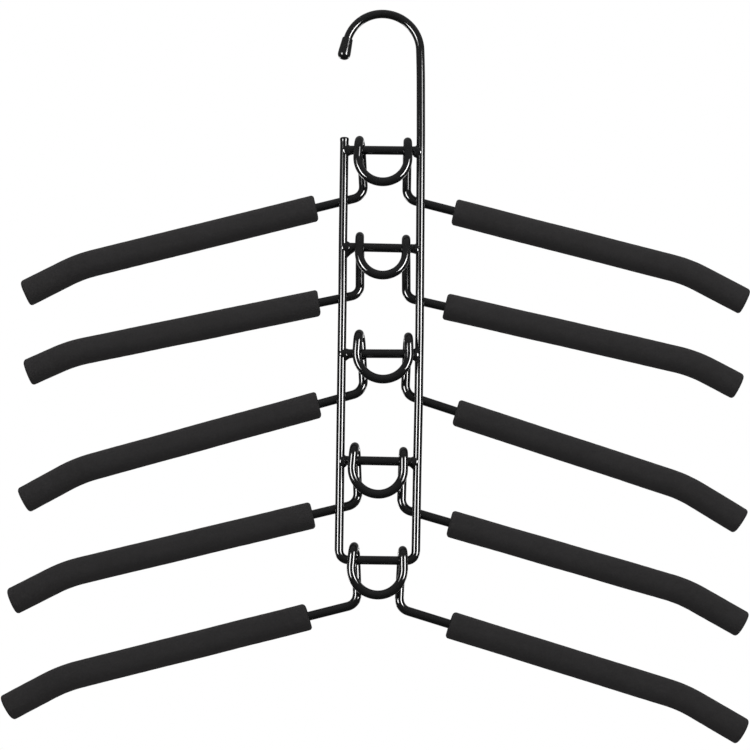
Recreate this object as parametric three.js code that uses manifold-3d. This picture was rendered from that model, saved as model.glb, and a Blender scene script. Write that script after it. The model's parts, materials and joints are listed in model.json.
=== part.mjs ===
// A space-saving hanger: one bent wire makes the hook and a narrow upright frame, four rungs are
// welded across it, and five swinging arms hook over the rungs and over the frame's bottom run.
// Each arm is one bent wire with a foam sleeve on either side.
// Millimetres, +Z up, and the front of the hanger looks along -Y. The origin is where a rod
// meets the inside of the hook's top.
import * as THREE from "three";
import { mergeVertices } from "three/addons/utils/BufferGeometryUtils.js";
import Module from "manifold-3d";

const wasm = await Module();
wasm.setup();

// Wire frame
const wireDiameter = 4.6; // the frame, the rungs and the arms are all the same coated wire
const uprightSpacing = 44.2; // between the centre lines of the two uprights
const topRungDrop = 79.1; // from the origin down to the axis of the top rung
const tierPitch = 59.3; // mean distance from one rung to the next
const stubHeight = 7.4; // the left upright ends this far above the top rung's axis
const cornerInnerRadius = 1.9; // inside of the two bottom corners
const tipBendShare = 1.018; // of the bend radius of the hook's right half, that of its left half
const hookTipLean = 11.5; // degrees from upright, by which the hook's tip leans out as it goes down
const hookTipStraight = 4.9; // straight part of the wire at the hook's tip

// Welds, into which the rungs' ends swell
const weldGap = 0.3; // between a rung's cut end and the upright's surface
const weldRun = 3.2; // how far a weld reaches along its rung
const weldRise = 1.1; // how far it stands above the rung at the upright
const weldSag = 0.5; // it hangs a little there, so most of it is under the rung
const weldSideShare = 0.8; // of the weld gap, how far it stands out in front and behind
const weldRingShares = [0, 0.3, 0.6, 1]; // of the weld's run, from the upright

// Cap on the hook's tip
const capBulbDiameter = 7.1;
const capGrip = 8.9; // length of wire inside the cap
const capBeyond = 5.1; // length of the cap past the wire's end
const capGap = 0.2; // around the wire and past its end
const capMouthWall = 0.5;
// The cap's outline from its closed end to its mouth: shares of the bulb's radius and the length
const capOutlineShares = [
  [0.62, 0.04],
  [0.93, 0.15],
  [1, 0.27],
  [0.97, 0.48],
  [0.88, 0.82],
];

// Arms
const seatGap = 0.35; // between an arm's wire and the rung or upright that it rests against
const loopWidthShare = 0.824; // of the window between the uprights, the width of an arm's loop
const crownShare = 0.3; // of a rear leg's inset, how much of it there is at the hook's top already
const hookBendShare = 0.49; // of the depth of a hook, the bend radius at its two top corners
const loopStraight = 6; // straight part of a loop's sides, below the rung's axis
const legDrop = 27.5; // from the rung's axis down to where the arm's line meets the rear leg
const legInnerRadius = 3.7; // inside of the bend from the rear leg out to the arm
const bendReach = 175; // from the arm's middle out to the bend near its tip
const tipInnerRadius = 72; // inside of that bend

// Foam sleeves
const foamDiameter = 15;
const foamRim = 2; // rounding of the sleeve's two ends
const foamInnerLength = 140; // of the sleeve, from the bend towards the middle
const foamTipLength = 35; // of the sleeve, past the bend
const foamCover = 6; // solid foam past the wire's end
const foamGap = 0.3; // around the wire and past its end

// Facets
const wireSides = 10;
const foamSides = 14;
const rimSteps = 2;
const chordError = 0.13; // how far a bend's chords may stray from its arc
const mergeDistance = 0.001;

// What differs from tier to tier, from the top one down. Heights are shares of the tier pitch,
// slides of the loop's side play, spreads of the loop's own reach to either side, loops of the
// loop's straight part, and bends of the leg's bend. On each side, hooks are shares of the height
// at which a hook would sit on its rung, insets, by which a rear leg stands nearer the middle than
// the front one, of the wire's diameter, drops of the leg's drop, reaches of the reach to the bend
// near the tip, and inners and tips of the two lengths of the sleeve. Slopes are degrees below
// level: the arm's long part, and its tip past the bend.
const tiers = [
  {
    heightShare: 0,
    slideShare: 0.106,
    spreadShare: 1.01,
    loopShare: 0.96,
    bendShare: 1.15,
    left: {
      hookShare: 1.23,
      insetShare: 0.5,
      dropShare: 0.964,
      reachShare: 0.998,
      innerShare: 1.005,
      tipShare: 0.993,
      armSlope: 14.96,
      tipSlope: 28.06,
    },
    right: {
      hookShare: 1.08,
      insetShare: 0.04,
      dropShare: 1.012,
      reachShare: 1.01,
      innerShare: 0.993,
      tipShare: 1.072,
      armSlope: 13.92,
      tipSlope: 27.5,
    },
  },
  {
    heightShare: 0.97,
    slideShare: 0.227,
    spreadShare: 0.955,
    loopShare: 0.6,
    bendShare: 1,
    left: {
      hookShare: 1.39,
      insetShare: 0.07,
      dropShare: 0.972,
      reachShare: 1.018,
      innerShare: 1.037,
      tipShare: 0.776,
      armSlope: 12.52,
      tipSlope: 25.26,
    },
    right: {
      hookShare: 1.14,
      insetShare: -0.12,
      dropShare: 1.013,
      reachShare: 1.023,
      innerShare: 1.04,
      tipShare: 0.848,
      armSlope: 12.29,
      tipSlope: 27.3,
    },
  },
  {
    heightShare: 2.01,
    slideShare: 0.55,
    spreadShare: 1.04,
    loopShare: 0.11,
    bendShare: 1,
    left: {
      hookShare: 2.29,
      insetShare: 0.83,
      dropShare: 0.787,
      reachShare: 0.99,
      innerShare: 1.014,
      tipShare: 1.013,
      armSlope: 16.27,
      tipSlope: 29.67,
    },
    right: {
      hookShare: 2.05,
      insetShare: 0.36,
      dropShare: 0.851,
      reachShare: 0.983,
      innerShare: 0.973,
      tipShare: 1.093,
      armSlope: 17.49,
      tipSlope: 30.87,
    },
  },
  {
    heightShare: 3.05,
    slideShare: 0.069,
    spreadShare: 1,
    loopShare: 0.88,
    bendShare: 1,
    left: {
      hookShare: 1.65,
      insetShare: 0.59,
      dropShare: 0.888,
      reachShare: 1.005,
      innerShare: 1.02,
      tipShare: 0.994,
      armSlope: 14.26,
      tipSlope: 27.55,
    },
    right: {
      hookShare: 1.21,
      insetShare: 0.2,
      dropShare: 0.983,
      reachShare: 0.993,
      innerShare: 0.985,
      tipShare: 1.084,
      armSlope: 15.43,
      tipSlope: 28.88,
    },
  },
  {
    heightShare: 4,
    slideShare: 0.158,
    spreadShare: 1,
    loopShare: 0.94,
    bendShare: 0.8,
    left: {
      hookShare: 1.59,
      insetShare: 0.63,
      dropShare: 0.901,
      reachShare: 1.009,
      innerShare: 1.015,
      tipShare: 1.016,
      armSlope: 14.81,
      tipSlope: 28.79,
    },
    right: {
      hookShare: 1.23,
      insetShare: 0.39,
      dropShare: 0.981,
      reachShare: 0.985,
      innerShare: 0.979,
      tipShare: 1.104,
      armSlope: 16.43,
      tipSlope: 29.48,
    },
  },
];

// Worked out from the sizes above
const wireRadius = wireDiameter / 2;
const foamRadius = foamDiameter / 2;
const uprightReach = uprightSpacing / 2;
const bottomRunDrop = topRungDrop + tierPitch * tiers.at(-1).heightShare;
const seatRadius = wireDiameter + seatGap; // from a rung's axis to the centre of a wire that hooks over it
const windowWidth = uprightSpacing - wireDiameter;
const loopWidth = windowWidth * loopWidthShare;
const sidePlay = (windowWidth - loopWidth) / 2;
const frontReach = (loopWidth - wireDiameter) / 2;

const sides = { left: -1, right: 1 };

function point(x, y, z) {
  return new THREE.Vector3(x, y, z);
}

// A wire's centre line: straight runs from corner to corner, and an arc of the given bend radius
// at each corner between them. A place is found by its distance along the line.
class WirePath extends THREE.Curve {
  constructor(corners) {
    super();
    this.runs = [];
    this.stations = [0];
    this.reach = 0;
    let start = corners[0].at;
    for (let i = 1; i < corners.length; i += 1) {
      const { at, bend } = corners[i];
      const heading = at.clone().sub(corners[i - 1].at).normalize();
      const isLast = i === corners.length - 1;
      const onward = isLast ? heading : corners[i + 1].at.clone().sub(at).normalize();
      const turn = heading.angleTo(onward);
      const trim = isLast ? 0 : bend * Math.tan(turn / 2);
      const stop = at.clone().addScaledVector(heading, -trim);
      this.addRun({ start, heading, length: start.distanceTo(stop) }, 1);
      if (isLast) break;
      const axis = heading.clone().cross(onward).normalize();
      const centre = stop.clone().addScaledVector(axis.clone().cross(heading), bend);
      const stepAngle = 2 * Math.acos(1 - chordError / bend);
      const steps = Math.ceil(turn / stepAngle);
      this.addRun({ start: stop, heading, axis, centre, bend, length: bend * turn }, steps);
      start = at.clone().addScaledVector(onward, trim);
    }
  }

  addRun(run, steps) {
    this.runs.push({ ...run, from: this.reach });
    for (let step = 1; step <= steps; step += 1) {
      const distance = this.reach + (run.length * step) / steps;
      if (distance - this.stations.at(-1) > mergeDistance) this.stations.push(distance);
    }
    this.reach += run.length;
  }

  // The point at a distance along the line, and the direction there. A distance below zero is
  // on the first run drawn out backwards.
  place(distance) {
    const run = this.runs.findLast((each) => each.from <= distance) ?? this.runs[0];
    const travelled = distance - run.from;
    const { heading } = run;
    if (!run.axis) return { at: run.start.clone().addScaledVector(heading, travelled), heading };
    const turned = travelled / run.bend;
    const arm = run.start.clone().sub(run.centre).applyAxisAngle(run.axis, turned);
    return { at: arm.add(run.centre), heading: heading.clone().applyAxisAngle(run.axis, turned) };
  }

  station(share) {
    return this.place(this.stations[Math.round(share * (this.stations.length - 1))]);
  }

  getPointAt(share) {
    return this.station(share).at;
  }

  getTangentAt(share) {
    return this.station(share).heading;
  }
}

// A round wire along a path, cut square at both ends.
function wireAlong(path) {
  const section = new THREE.Shape();
  section.absarc(0, 0, wireRadius, 0, 2 * Math.PI);
  return new THREE.ExtrudeGeometry(section, {
    steps: path.stations.length - 1,
    extrudePath: path,
    curveSegments: wireSides / 2,
  });
}

// A turned piece bent along a path that lies in the plane of the frame. The outline's points
// hold a radius and a distance along the path.
function turnedAlong(path, outline, around) {
  const geometry = new THREE.LatheGeometry(outline, around);
  const places = geometry.getAttribute("position");
  const across = point(0, 1, 0);
  const vertex = point(0, 0, 0);
  for (let i = 0; i < places.count; i += 1) {
    vertex.fromBufferAttribute(places, i);
    const { at, heading } = path.place(vertex.y);
    const outward = heading.clone().cross(across);
    at.addScaledVector(outward, vertex.x).addScaledVector(across, vertex.z);
    places.setXYZ(i, at.x, at.y, at.z);
  }
  return geometry;
}

function solidOf(geometry) {
  const bare = new THREE.BufferGeometry();
  bare.setAttribute("position", geometry.getAttribute("position"));
  bare.setIndex(geometry.getIndex());
  const merged = mergeVertices(bare, mergeDistance);
  return new wasm.Manifold(
    new wasm.Mesh({
      numProp: 3,
      vertProperties: merged.getAttribute("position").array,
      triVerts: new Uint32Array(merged.getIndex().array),
    }),
  );
}

function geometryOf(solid) {
  const mesh = solid.getMesh();
  const geometry = new THREE.BufferGeometry();
  geometry.setAttribute("position", new THREE.BufferAttribute(mesh.vertProperties, mesh.numProp));
  geometry.setIndex(new THREE.BufferAttribute(mesh.triVerts, 1));
  geometry.computeVertexNormals();
  return geometry;
}

// Materials
function coatedWire() {
  return new THREE.MeshStandardMaterial({ color: 0x121212, roughness: 0.22, metalness: 0 });
}

function foam() {
  return new THREE.MeshStandardMaterial({ color: 0x2b2b2c, roughness: 0.95, metalness: 0 });
}

function softCap() {
  return new THREE.MeshStandardMaterial({ color: 0x101010, roughness: 0.35, metalness: 0 });
}

function addMesh(group, name, geometry, material) {
  const mesh = new THREE.Mesh(geometry, material);
  mesh.name = name;
  group.add(mesh);
  return mesh;
}

// The frame's wire: from the hook's tip over the hook, down the right upright, along the bottom
// and up the left upright to its cut end. The hook's two halves meet above the origin.
const cornerBend = cornerInnerRadius + wireRadius;
const tipBend = uprightReach * tipBendShare;
const tipLean = THREE.MathUtils.degToRad(hookTipLean);
const tipCornerReach = tipBend * Math.tan((Math.PI / 2 - tipLean) / 2);
const tipRun = tipCornerReach + hookTipStraight;
const tipCorner = point(-tipCornerReach, 0, wireRadius);
const framePath = new WirePath([
  { at: tipCorner.clone().sub(point(Math.sin(tipLean) * tipRun, 0, Math.cos(tipLean) * tipRun)) },
  { at: tipCorner, bend: tipBend },
  { at: point(uprightReach, 0, wireRadius), bend: uprightReach },
  { at: point(uprightReach, 0, -bottomRunDrop), bend: cornerBend },
  { at: point(-uprightReach, 0, -bottomRunDrop), bend: cornerBend },
  { at: point(-uprightReach, 0, stubHeight - topRungDrop) },
]);

// A rung along X: a round wire that swells into a weld at each end and is cut to the uprights.
function rungGeometry() {
  const uprightFace = uprightReach - wireRadius;
  const reaches = [uprightReach, ...weldRingShares.map((share) => uprightFace - weldRun * share)];
  const distances = [...reaches.map((reach) => -reach), ...reaches.toReversed()];
  const outline = [new THREE.Vector2(0, -uprightReach)];
  for (const distance of distances) outline.push(new THREE.Vector2(wireRadius, distance));
  outline.push(new THREE.Vector2(0, uprightReach));
  const geometry = new THREE.LatheGeometry(outline, wireSides).rotateZ(-Math.PI / 2);

  const places = geometry.getAttribute("position");
  const deeper = 1 + (weldGap * weldSideShare) / wireRadius;
  const taller = 1 + weldRise / wireRadius;
  for (let i = 0; i < places.count; i += 1) {
    const inward = uprightFace - Math.abs(places.getX(i));
    const swell = THREE.MathUtils.clamp(1 - inward / weldRun, 0, 1) ** 2;
    const y = places.getY(i) * THREE.MathUtils.lerp(1, deeper, swell);
    const z = places.getZ(i) * THREE.MathUtils.lerp(1, taller, swell);
    places.setY(i, y).setZ(i, z - weldSag * swell);
  }

  const cutRadius = wireRadius + weldGap;
  const cutHeight = 4 * (wireRadius + weldRise + weldSag);
  let rung = solidOf(geometry);
  for (const side of Object.values(sides)) {
    const cut = new THREE.CylinderGeometry(cutRadius, cutRadius, cutHeight, wireSides);
    cut.rotateX(Math.PI / 2);
    cut.translate(side * uprightReach, 0, 0);
    rung = rung.subtract(solidOf(cut));
  }
  return geometryOf(rung);
}

// The soft cap on the hook's tip, with a blind bore for the wire.
function capGeometry() {
  const capLength = capGrip + capBeyond;
  const bulbRadius = capBulbDiameter / 2;
  const boreRadius = wireRadius + capGap;
  const outline = [new THREE.Vector2(0, -capBeyond)];
  for (const [radiusShare, lengthShare] of capOutlineShares) {
    outline.push(new THREE.Vector2(bulbRadius * radiusShare, capLength * lengthShare - capBeyond));
  }
  outline.push(new THREE.Vector2(boreRadius + capMouthWall, capGrip));
  outline.push(new THREE.Vector2(boreRadius, capGrip));
  for (const distance of framePath.stations.filter((each) => each < capGrip).reverse()) {
    outline.push(new THREE.Vector2(boreRadius, distance));
  }
  outline.push(new THREE.Vector2(boreRadius, -capGap));
  outline.push(new THREE.Vector2(0, -capGap));
  return turnedAlong(framePath, outline, foamSides);
}

// One side of an arm's wire, in the tier's own frame with the rung's axis at its origin: corners
// from the wire's end in the foam, past the bend, in to the rear leg, over the rung and down to
// the loop in front.
function armCorners(tier, sideName) {
  const side = sides[sideName];
  const { hookShare, insetShare, dropShare, reachShare, tipShare, armSlope, tipSlope } = tier[sideName];
  const middle = sidePlay * tier.slideShare;
  const loopReach = frontReach * tier.spreadShare;
  const armAngle = THREE.MathUtils.degToRad(armSlope);
  const tipAngle = THREE.MathUtils.degToRad(tipSlope);
  const inset = wireDiameter * insetShare;
  const rearReach = loopReach - inset;
  const frontX = middle + side * loopReach;
  const crownX = frontX - side * inset * crownShare;
  const legZ = -legDrop * dropShare;
  const leg = point(middle + side * rearReach, seatRadius, legZ);
  const outerReach = bendReach * reachShare;
  const bendZ = legZ - (outerReach - rearReach) * Math.tan(armAngle);
  const bend = point(middle + side * outerReach, seatRadius, bendZ);
  const wireTip = foamTipLength * tipShare - foamCover;
  const tipX = side * Math.cos(tipAngle) * wireTip;
  const end = bend.clone().add(point(tipX, 0, -Math.sin(tipAngle) * wireTip));
  const hookRear = point(crownX, seatRadius, seatRadius * hookShare);
  const hookFront = point(frontX, -seatRadius, seatRadius * hookShare);
  const hookBend = hookRear.distanceTo(hookFront) * hookBendShare;
  const loopZ = -loopStraight * tier.loopShare - loopReach;
  return [
    { at: end },
    { at: bend, bend: tipInnerRadius + wireRadius },
    { at: leg, bend: legInnerRadius * tier.bendShare + wireRadius },
    { at: hookRear, bend: hookBend },
    { at: hookFront, bend: hookBend },
    { at: point(frontX, -seatRadius, loopZ), bend: loopReach },
  ];
}

// A foam sleeve along one side of an arm: closed past the wire's end, open towards the middle.
function sleeveGeometry(corners, { innerShare, tipShare }) {
  const path = new WirePath(corners.slice(0, 3));
  const closedEnd = -foamCover;
  const openEnd = foamTipLength * tipShare + foamInnerLength * innerShare - foamCover;
  const boreRadius = wireRadius + foamGap;
  const bends = path.stations.filter((each) => each > 0 && each < path.reach);
  const outline = [new THREE.Vector2(0, closedEnd)];
  const addRim = (centre, from) => {
    for (let step = 0; step <= rimSteps; step += 1) {
      const angle = from + ((Math.PI / 2) * step) / rimSteps;
      const radius = foamRadius - foamRim + foamRim * Math.cos(angle);
      outline.push(new THREE.Vector2(radius, centre + foamRim * Math.sin(angle)));
    }
  };
  addRim(closedEnd + foamRim, -Math.PI / 2);
  for (const distance of bends) outline.push(new THREE.Vector2(foamRadius, distance));
  addRim(openEnd - foamRim, 0);
  outline.push(new THREE.Vector2(boreRadius, openEnd));
  for (const distance of bends.toReversed()) outline.push(new THREE.Vector2(boreRadius, distance));
  outline.push(new THREE.Vector2(boreRadius, -foamGap));
  outline.push(new THREE.Vector2(0, -foamGap));
  return turnedAlong(path, outline, foamSides);
}

const hanger = new THREE.Group();

const frame = new THREE.Group();
hanger.add(frame);
addMesh(frame, "frame_wire", wireAlong(framePath), coatedWire());
addMesh(frame, "hook_tip_cap", capGeometry(), softCap());

for (const [i, tier] of tiers.entries()) {
  const number = i + 1;
  const rungZ = -topRungDrop - tierPitch * tier.heightShare;
  // The frame's bottom run is the last tier's rung
  if (number < tiers.length) {
    addMesh(frame, `rung_${number}`, rungGeometry(), coatedWire()).position.z = rungZ;
  }

  const arm = new THREE.Group();
  arm.position.z = rungZ;
  hanger.add(arm);
  const left = armCorners(tier, "left");
  const right = armCorners(tier, "right");
  const armPath = new WirePath([...left, ...right.toReversed()]);
  addMesh(arm, `arm_wire_${number}`, wireAlong(armPath), coatedWire());
  addMesh(arm, `foam_sleeve_${number}_left`, sleeveGeometry(left, tier.left), foam());
  addMesh(arm, `foam_sleeve_${number}_right`, sleeveGeometry(right, tier.right), foam());
}

export default hanger;
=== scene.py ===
import json
import math

import bpy
import numpy as np
from mathutils import Matrix, Vector


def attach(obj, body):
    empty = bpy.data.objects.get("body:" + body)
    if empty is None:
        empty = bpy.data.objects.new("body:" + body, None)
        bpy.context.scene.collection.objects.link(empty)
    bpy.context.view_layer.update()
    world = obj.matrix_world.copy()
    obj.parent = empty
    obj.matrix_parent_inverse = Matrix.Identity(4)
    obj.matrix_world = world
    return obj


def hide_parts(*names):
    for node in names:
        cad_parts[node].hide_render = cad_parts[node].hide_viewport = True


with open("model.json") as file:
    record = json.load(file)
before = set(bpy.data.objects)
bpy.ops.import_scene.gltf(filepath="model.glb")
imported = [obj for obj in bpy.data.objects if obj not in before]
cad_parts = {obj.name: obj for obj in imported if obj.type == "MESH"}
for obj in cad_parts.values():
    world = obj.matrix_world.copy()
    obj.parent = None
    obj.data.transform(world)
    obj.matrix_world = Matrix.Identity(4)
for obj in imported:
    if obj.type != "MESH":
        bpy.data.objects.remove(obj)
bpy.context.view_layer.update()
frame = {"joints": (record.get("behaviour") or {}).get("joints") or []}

# Everything is written in millimetres and degrees, and made in metres.
# x runs to the right, z up, and the front of the hanger looks along -y.
mm = 0.001

# The photograph is taken from just below the hanger's middle, looking slightly up
camera = {
    "aim": (-2.62, 0, -210.65),  # what the middle of the picture looks at
    "distance": 1200,
    "pitch": 7.6,  # looking up
    "lean": 0.77,  # the frame's top leans this far to the right in the picture
    "pixelSize": 0.572,  # what one pixel covers at the aim
    "pictureWidth": 750,  # pixels
    "sensorWidth": 36,
    "sees": (0.05, 60),  # nearest and farthest, m
}


def addCamera(c):
    # look = (0, cos pitch, sin pitch), and right and up are turned about it by the lean. The focal
    # length is distance / (pixel size * picture width) * sensor width.
    pitch, lean = math.radians(c["pitch"]), math.radians(c["lean"])
    look = Vector((0, math.cos(pitch), math.sin(pitch)))
    level = Vector((1, 0, 0))
    upright = level.cross(look)
    right = level * math.cos(lean) + upright * math.sin(lean)
    up = upright * math.cos(lean) - level * math.sin(lean)
    data = bpy.data.cameras.new("photo_camera")
    data.sensor_width = c["sensorWidth"]
    data.lens = c["distance"] / c["pixelSize"] * c["sensorWidth"] / c["pictureWidth"]
    data.clip_start, data.clip_end = c["sees"]
    taker = bpy.data.objects.new("photo_camera", data)
    bpy.context.collection.objects.link(taker)
    taker.matrix_world = Matrix.Translation((Vector(c["aim"]) - look * c["distance"]) * mm) @ Matrix(
        (right, up, -look)
    ).transposed().to_4x4()
    bpy.context.scene.camera = taker


addCamera(camera)
bpy.context.scene.view_settings.view_transform = "Standard"
print("camera placed")

# Sizes that several pieces share. The bare wire is 4.6 thick. These radii are with its coat, as wide
# as the photograph shows it.
wire = {
    "frame": 2.5,
    "rung": 2.56,
    "arm": 2.58,
    "around": 36,  # points in a ring round the wire
    "spacing": 1.0,  # from ring to ring
}
uprightX = 22.1
faceX = uprightX - wire["frame"]  # the uprights' inner sides
rungZ = [joint["pos_m"][2] / mm for joint in frame["joints"]]  # the last is the frame's bottom run


def unit(v):
    # v / |v|, row by row
    return v / np.linalg.norm(v, axis=-1, keepdims=True)


def steepness(degrees):
    # The tangent of a lean or slope
    return math.tan(math.radians(degrees))


def turned(v, axis, angle):
    # v cos a + (axis x v) sin a + axis (axis . v)(1 - cos a), row by row
    a = np.asarray(angle)[..., None]
    along = axis * np.sum(axis * v, -1, keepdims=True)
    return v * np.cos(a) + np.cross(axis, v) * np.sin(a) + along * (1 - np.cos(a))


def bentPath(corners, side=(0, 1, 0)):
    # Straight runs between corners, and at each corner an arc of its bend radius, which begins
    # bend * tan(turn / 2) before the corner. The side direction is carried along and turned by each arc.
    points = np.array([corner[0] for corner in corners], float)
    headings = unit(np.diff(points, axis=0))
    side = np.array(side, float)
    none = np.zeros(3)
    runs, first, start = [], 0.0, points[0]
    for i, heading in enumerate(headings):
        last = i == len(headings) - 1
        onward = heading if last else headings[i + 1]
        bend = 0 if last else corners[i + 1][1]
        turn = math.acos(min(1, max(-1, heading @ onward)))
        trim = bend * math.tan(turn / 2)
        stop = points[i + 1] - heading * trim
        runs.append((first, start, heading, side, none, start, 0))
        first += np.linalg.norm(stop - start)
        if not last:
            axis = unit(np.cross(heading, onward))
            centre = stop + np.cross(axis, heading) * bend
            runs.append((first, stop, heading, side, axis, centre, 1 / bend))
            first += bend * turn
            side = turned(side, axis, turn)
            start = points[i + 1] + onward * trim
    names = ("first", "start", "heading", "side", "axis", "centre", "curve")
    path = {name: np.array([run[k] for run in runs]) for k, name in enumerate(names)}
    path["length"] = first
    return path


def placesOn(path, distances):
    # On a straight run start + heading * s, and on an arc centre + (start - centre) turned by s / bend.
    # Distances before the path's start or past its end lie on its first or last run drawn out.
    run = np.clip(np.searchsorted(path["first"], distances, side="right") - 1, 0, None)
    s = distances - path["first"][run]
    curve, axis, centre = path["curve"][run], path["axis"][run], path["centre"][run]
    angle = s * curve
    at = centre + turned(path["start"][run] - centre, axis, angle)
    at += path["heading"][run] * (s * (curve == 0))[:, None]
    return at, turned(path["heading"][run], axis, angle), turned(path["side"][run], axis, angle)


def ringsOn(path, distances, radii, around):
    # Ring point = centre line + r (cos t * side + sin t * heading x side). With it comes the same
    # piece unbent, (distance, r cos t, r sin t), which the patterns follow.
    at, heading, side = placesOn(path, distances)
    t = np.linspace(0, 2 * np.pi, around, endpoint=False)
    c, s = np.cos(t)[None, :, None], np.sin(t)[None, :, None]
    r = np.broadcast_to(radii, (len(distances), around))[..., None]
    grid = at[:, None] + r * (c * side[:, None] + s * np.cross(heading, side)[:, None])
    long = np.broadcast_to(distances[:, None, None], r.shape)
    unbent = np.concatenate([long, r * c, r * s], -1)
    return grid, unbent


def addSurface(name, grid, unbent, material, body, nodes=(), loops=False, marks=None):
    # Quads join each grid point to the next in its row and the next row, round every row. The last
    # row joins the first if it loops, and otherwise a fan to the row's mean closes either end.
    rows, around = grid.shape[:2]
    index = np.arange(rows * around).reshape(rows, around)
    low = index if loops else index[:-1]
    high = np.roll(index, -1, axis=0) if loops else index[1:]
    quads = np.stack([low, np.roll(low, -1, 1), np.roll(high, -1, 1), high], -1).reshape(-1, 4)
    points, straight = grid.reshape(-1, 3), unbent.reshape(-1, 3)
    fans = np.zeros((0, 3), int)
    if not loops:
        tail, head = len(points), len(points) + 1
        points = np.vstack([points, grid[0].mean(0), grid[-1].mean(0)])
        straight = np.vstack([straight, unbent[0].mean(0), unbent[-1].mean(0)])
        start = np.stack([np.roll(index[0], -1), index[0], np.full(around, tail)], -1)
        end = np.stack([index[-1], np.roll(index[-1], -1), np.full(around, head)], -1)
        fans = np.vstack([start, end])
    thirds = np.vstack([quads[:, :3], quads[:, [0, 2, 3]], fans])
    a, b, c = (points[thirds[:, k]] for k in range(3))
    if np.sum(a * np.cross(b, c)) < 0:  # six times the volume, below zero if the faces look inwards
        quads, fans = quads[:, ::-1], fans[:, ::-1]
    mesh = bpy.data.meshes.new(name)
    mesh.from_pydata((points * mm).tolist(), [], quads.tolist() + fans.tolist())
    mesh.polygons.foreach_set("use_smooth", np.ones(len(mesh.polygons), bool))
    follow = mesh.attributes.new("unbent", "FLOAT_VECTOR", "POINT")
    follow.data.foreach_set("vector", (straight * mm).astype(np.float32).ravel())
    if marks is not None:
        values = np.broadcast_to(marks, (rows, around)).ravel()
        values = values if loops else np.append(values, [values[0], values[-1]])
        mark = mesh.attributes.new("cut", "FLOAT", "POINT")
        mark.data.foreach_set("value", values.astype(np.float32))
    mesh.materials.append(material)
    mesh.update()
    piece = bpy.data.objects.new(name, mesh)
    bpy.context.collection.objects.link(piece)
    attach(piece, body)
    if nodes:
        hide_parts(*nodes)
    return piece


def ripple(rng, count, rows, columns, amplitude):
    # Sum of count waves, amplitude / count * cos(k u + n v + phase), with whole n so that it closes
    # round the piece. u runs along the piece and v round it, and rows and columns are the ranges of
    # k and n. The pieces' dictionaries give a ripple in this order.
    k, n = rng.uniform(*rows, count), rng.integers(*columns, count)
    phase = rng.uniform(0, 2 * np.pi, count)
    return lambda u, v: amplitude / count * np.sum(
        np.cos(k * u[..., None] + n * v[..., None] + phase), -1
    )


# Node groups, for patterns that follow the unbent piece, in metres along it and across it.
smooth = {"interpolation_type": "SMOOTHSTEP"}


def wiring(tree):
    # Gives the function that adds a node. Each link is a value, a socket, or a node whose first
    # output is meant, by its socket's name or, as i0, i1, i2, by its place.
    def node(kind, settings=None, **links):
        made = tree.nodes.new("ShaderNode" + kind)
        for key, value in (settings or {}).items():
            setattr(made, key, value)
        for key, value in links.items():
            label = int(key[1:]) if key[0] == "i" and key[1:].isdigit() else key.replace("_", " ")
            if isinstance(value, bpy.types.Node):
                value = value.outputs[0]
            if isinstance(value, bpy.types.NodeSocket):
                tree.links.new(value, made.inputs[label])
            else:
                made.inputs[label].default_value = value
        return made

    return node


def maths(node, operation, *values, **settings):
    # One step of arithmetic on its values, in order
    places = {f"i{place}": value for place, value in enumerate(values)}
    return node("Math", {"operation": operation, **settings}, **places)


def newGroup(name, inputs, output):
    # Inputs are a dictionary of name: (kind, value), after the vector that each group has
    tree = bpy.data.node_groups.new(name, "ShaderNodeTree")
    tree.interface.new_socket("Vector", in_out="INPUT", socket_type="NodeSocketVector")
    for label, (kind, value) in inputs.items():
        socket = tree.interface.new_socket(label, in_out="INPUT", socket_type="NodeSocket" + kind)
        socket.default_value = value
    label, kind = output
    tree.interface.new_socket(label, in_out="OUTPUT", socket_type="NodeSocket" + kind)
    into, out = tree.nodes.new("NodeGroupInput"), tree.nodes.new("NodeGroupOutput")
    return tree, wiring(tree), into.outputs, out.inputs[0]


def makeMottle():
    # Colour * (1 + spread * (noise - 1/2)), for the slow drift of tone over a piece
    inputs = {"Colour": ("Color", (0.5, 0.5, 0.5, 1)), "Scale": ("Float", 100), "Spread": ("Float", 0.1)}
    tree, node, into, out = newGroup("tone mottle", inputs, ("Colour", "Color"))
    noise = node("TexNoise", Vector=into["Vector"], Scale=into["Scale"], Detail=3)
    centred = maths(node, "SUBTRACT", noise, 0.5)
    gain = maths(node, "MULTIPLY_ADD", centred, into["Spread"], 1)
    scaled = node("VectorMath", {"operation": "SCALE"}, Vector=into["Colour"], Scale=gain)
    tree.links.new(scaled.outputs[0], out)
    return tree


def makeDrift():
    # Least + (most - least) * noise, for gloss that handling and coating leave uneven
    inputs = {"Scale": ("Float", 100), "Least": ("Float", 0.1), "Most": ("Float", 0.3)}
    tree, node, into, out = newGroup("gloss drift", inputs, ("Roughness", "Float"))
    noise = node("TexNoise", Vector=into["Vector"], Scale=into["Scale"], Detail=4, Roughness=0.6)
    ends = {"To_Min": into["Least"], "To_Max": into["Most"]}
    spread = node("MapRange", smooth, Value=noise, From_Min=0.3, From_Max=0.7, **ends)
    tree.links.new(spread.outputs[0], out)
    return tree


def makeGrain():
    # Height = fine noise + share * coarse noise, for orange peel, foam skin and moulded rubber alike
    inputs = {"Fine": ("Float", 2000), "Coarse": ("Float", 300), "Coarse Share": ("Float", 0.5)}
    tree, node, into, out = newGroup("surface grain", inputs, ("Height", "Float"))
    fine = node("TexNoise", Vector=into["Vector"], Scale=into["Fine"], Detail=2, Roughness=0.6)
    coarse = node("TexNoise", Vector=into["Vector"], Scale=into["Coarse"], Detail=1)
    total = maths(node, "MULTIPLY_ADD", coarse, into["Coarse Share"], fine)
    tree.links.new(total.outputs[0], out)
    return tree


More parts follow.
